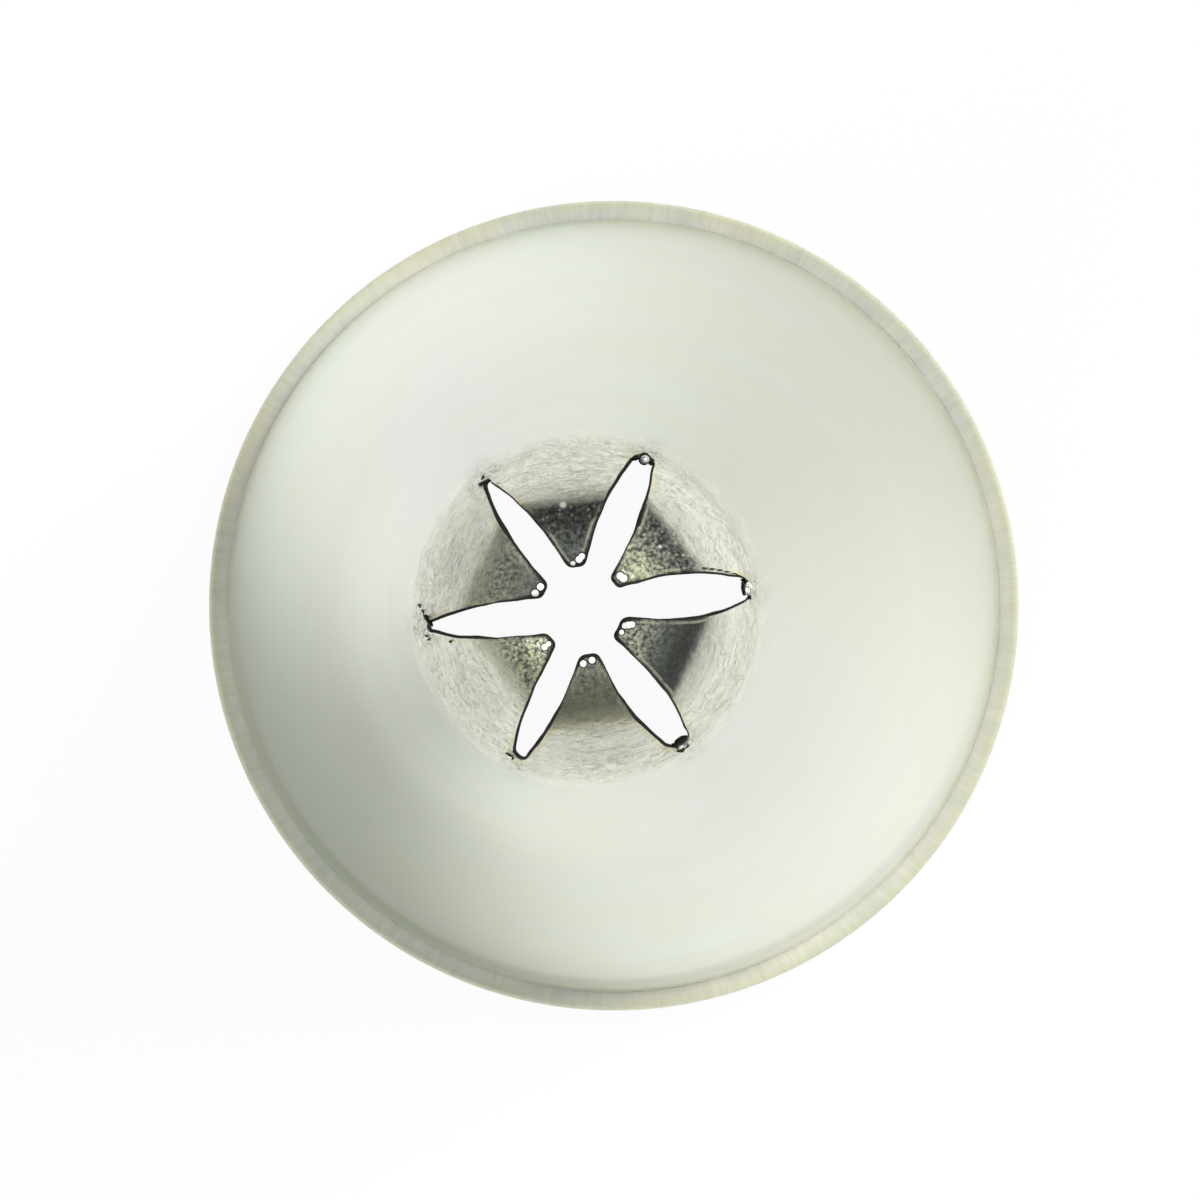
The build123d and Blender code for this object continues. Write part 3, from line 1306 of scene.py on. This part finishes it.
rimSteel = {
    "colour": (0.655, 0.665, 0.58),
    "wornColour": (0.71, 0.71, 0.62),
    "outerColour": (0.645, 0.66, 0.515),
    "sideColour": (0.60, 0.62, 0.55),
    "coolTint": (0.955, 0.985, 0.985),
    "warmTint": (1.035, 1.02, 0.97),
    # painted light: the ring is painted lighter on the side where the cone's shadow falls on it
    "lightWay": (-0.90, -0.44, 0),
    "lift": 0.16,
    "topMetallic": 0.25,
    "sideMetallic": 0.95,
    "topRoughness": 0.6,
    "sideRoughness": 0.34,
    "streakDepth": 0.004,
}


def makeRimSteel():
    material, tree = newMaterial("brushedRimSteel")
    at = axisPlaces(tree)
    streaks = ringNoise(at, "radius", 70, 1.5, 3, 0.6)
    lines = ringNoise(at, "height", 2, 14, 3, 0.6)
    onTop = softStep(at["height"], ringHigh.z / mm - 0.18, ringHigh.z / mm - 0.10)
    streaks = lines + onTop * (streaks - lines)
    mottle = softStep(noiseAt(at["place"], 0.9, 3, 0.6), 0.35, 0.65)
    # the ring's colour: mottled wear first, then painted light below
    worn = mixColour(mottle, rimSteel["colour"], rimSteel["wornColour"])
    outer = softStep(at["radius"], ringHigh.x / mm - 0.30, ringHigh.x / mm - 0.10)
    worn = mixColour(outer, worn, rimSteel["outerColour"])
    patches = softStep(noiseAt(at["place"], 0.35, 2, 0.5), 0.40, 0.60)
    worn = tinted(worn, mixColour(patches, rimSteel["coolTint"], rimSteel["warmTint"]))
    # painted light filling in the cone's shadow on the ring
    towards = atLeast(0.0, facing(at["direction"], rimSteel["lightWay"]) + 0.3)
    worn = scaled(worn, calc("MULTIPLY_ADD", towards, rimSteel["lift"], 1.0))
    worn = mixColour(onTop, rimSteel["sideColour"], worn)
    colour = scaled(worn, softStep(streaks, 0.3, 0.7, 0.95, 1.04))
    metallic = blendNode(onTop, rimSteel["sideMetallic"], rimSteel["topMetallic"])
    roughness = blendNode(onTop, rimSteel["sideRoughness"], rimSteel["topRoughness"])
    closeSteel(colour, metallic, roughness, streaks * rimSteel["streakDepth"])
    return material


burrSteel = {
    "darkColour": (0.012, 0.011, 0.010),
    # painted highlights: near-white chips that stand in for light glinting on the torn metal
    "brightColour": (0.94, 0.95, 0.90),
    "brightMetallic": 0.2,
    "roughness": 0.4,
    "chipDepth": 0.03,
}


def makeBurrSteel():
    material, tree = newMaterial("tornSteel")
    place = axisPlaces(tree)["place"]
    # painted highlight chips, more of them on the bright burrs
    chips = noiseAt(place, 7.0, 4, 0.7, 0.8) + attribute(tree, "bright") * 0.32
    chips = softStep(chips, 0.72, 0.80)
    colour = mixColour(chips, burrSteel["darkColour"], burrSteel["brightColour"])
    metallic = blendNode(chips, 0.0, burrSteel["brightMetallic"])
    level = noiseAt(place, 16.0, 4, 0.7) * burrSteel["chipDepth"]
    closeSteel(colour, metallic, burrSteel["roughness"], level)
    return material


finishPiece(drawnShell, makeShellSteel(), "nozzle_cone")
finishPiece(slotBurrs, makeBurrSteel(), "nozzle_cone")
finishPiece(rimBand, makeRimSteel(), "rim_ring")
print("materials assigned")


# floor, light and camera

stage = {
    "floorSize": 6.0,
    "floorColour": (0.85, 0.85, 0.85),
    "floorWhite": 0.95,  # how white the camera sees the floor, the rest shows its shadows
    "floorGloss": 0.1,  # the same for what the metal mirrors
    "farGloss": 0.45,  # how much of the floor farther out the metal mirrors
    "farSpan": (15 * mm, 75 * mm),
    "worldLevel": 0.3,
    "horizonGloss": 0.75,
    "overheadGloss": 0.03,
    "overheadSpan": (0.2, 0.6),  # as shares of the way up
    "zenithGloss": 0.5,
    "zenithSpan": (0.975, 0.995),
    "panelGloss": 0.25,
    "panelSpan": (0.85, 0.98),
    "wideBands": (2.0, 0.9, 0.30),  # round the horizon: how many, their turn and strength
    "narrowBands": (5.0, 2.1, 0.16),
    "bandLevel": 0.62,
}

# turn round the nozzle and rise in degrees, distance and size in m, power in W
lamps = namedRows("name turn rise distance size power", [
    ("keyPanel", 26, 52, 0.50, 0.22, 2.6),
    ("fillPanel", 219, 50, 0.50, 0.30, 1.0),
])

view = {
    "lens": 268.1,
    "sensor": 36,
    "nearest": 0.01,
    "place": (3.998 * mm, 0.078 * mm, 200 * mm),
    "roll": 6.3,
    "aim": (-0.299 * mm, 0.127 * mm, 1.4 * mm),
}


def makeFloor():
    deselectAll()
    bpy.ops.mesh.primitive_plane_add(size=stage["floorSize"], location=(0, 0, 0))
    floor = bpy.context.object
    floor.name = "paleFloor"
    material, tree = newMaterial("palePaper")
    rays = addNode("LightPath", {}, tree)
    mirrored = outOf(rays, "Is Glossy Ray")
    direct = calc("MAXIMUM", outOf(rays, "Is Camera Ray"), outOf(rays, "Is Transmission Ray"))
    share = direct * stage["floorWhite"] + mirrored * stage["floorGloss"]
    away = vectorCalc("LENGTH", objectPlace(tree))
    far = softStep(away, *stage["farSpan"], 0, stage["farGloss"] - 1)
    level = calc("MULTIPLY_ADD", mirrored, far, 1.0)
    paper = addNode("BsdfDiffuse", {"Color": scaled(stage["floorColour"], level)})
    glow = addNode("Emission", {"Color": (1, 1, 1), "Strength": level})
    layers = {0: calc("MINIMUM", share, 1.0), 1: outOf(paper), 2: outOf(glow)}
    closeMaterial(addNode("MixShader", layers))
    floor.data.materials.append(material)


def lampWay(lamp):
    turn, rise = radians(lamp["turn"]), radians(lamp["rise"])
    return cos(turn) * cos(rise), sin(turn) * cos(rise), sin(rise)


# soft bands of light round the horizon

def aroundBands(around, count, turn, strength, level):
    wave = calc("SINE", calc("MULTIPLY_ADD", around, count, turn))
    return calc("MULTIPLY_ADD", wave, strength, level)


def makeWorld():
    world = bpy.data.worlds.new("studioWorld")
    bpy.context.scene.world = world
    world.use_nodes = True
    tree = world.node_tree
    tree.nodes.clear()
    rays = addNode("LightPath", {}, tree)
    way = outOf(addNode("TexCoord", {}, tree), "Generated")
    parts = addNode("SeparateXYZ", {0: way})
    rise = outOf(parts, "Z")
    around = calc("ARCTAN2", outOf(parts, "Y"), outOf(parts, "X"))
    bands = aroundBands(around, *stage["narrowBands"], stage["bandLevel"])
    bands = aroundBands(around, *stage["wideBands"], bands)
    glosses = stage["horizonGloss"], stage["overheadGloss"]
    mirrored = softStep(rise, *stage["overheadSpan"], *glosses) * bands
    mirrored = mirrored + softStep(rise, *stage["zenithSpan"], 0, stage["zenithGloss"])
    for lamp in lamps:
        gloss = lamp["power"] * stage["panelGloss"]
        towards = facing(way, lampWay(lamp))
        mirrored = mirrored + softStep(towards, *stage["panelSpan"], 0, gloss)
    shares = {0: outOf(rays, "Is Glossy Ray"), 2: stage["worldLevel"], 3: mirrored}
    strength = outOf(addNode("Mix", shares))
    strength = calc("MAXIMUM", outOf(rays, "Is Camera Ray"), strength)
    glow = addNode("Background", {"Color": (1, 1, 1), "Strength": strength})
    addNode("OutputWorld", {"Surface": outOf(glow)})


def makeLamps():
    for settings in lamps:
        place = Vector(lampWay(settings)) * settings["distance"]
        bpy.ops.object.light_add(type="AREA", location=place)
        lamp = bpy.context.object
        lamp.name = settings["name"]
        lamp.rotation_euler = place.to_track_quat("Z", "Y").to_euler()
        lamp.data.shape = "DISK"
        lamp.data.size = settings["size"]
        lamp.data.energy = settings["power"]
        lamp.visible_glossy = False  # the metal mirrors the pale surroundings, not the panels


def makeCamera():
    place, roll = Vector(view["place"]), radians(view["roll"])
    right = Vector((cos(roll), -sin(roll), 0))
    up = Vector((sin(roll), cos(roll), 0))
    aim = right * view["aim"][0] + up * view["aim"][1] + Vector((0, 0, view["aim"][2]))
    back = (place - aim).normalized()
    side = up.cross(back).normalized()
    turn = Matrix((side, back.cross(side), back)).transposed()
    bpy.ops.object.camera_add(location=place, rotation=turn.to_euler())
    camera = bpy.context.object
    camera.data.lens = view["lens"]
    camera.data.sensor_width = view["sensor"]
    camera.data.clip_start = view["nearest"]
    bpy.context.scene.camera = camera


makeFloor()
makeWorld()
makeLamps()
makeCamera()
bpy.context.scene.view_settings.view_transform = "Standard"
print("stage, lamps and camera placed")
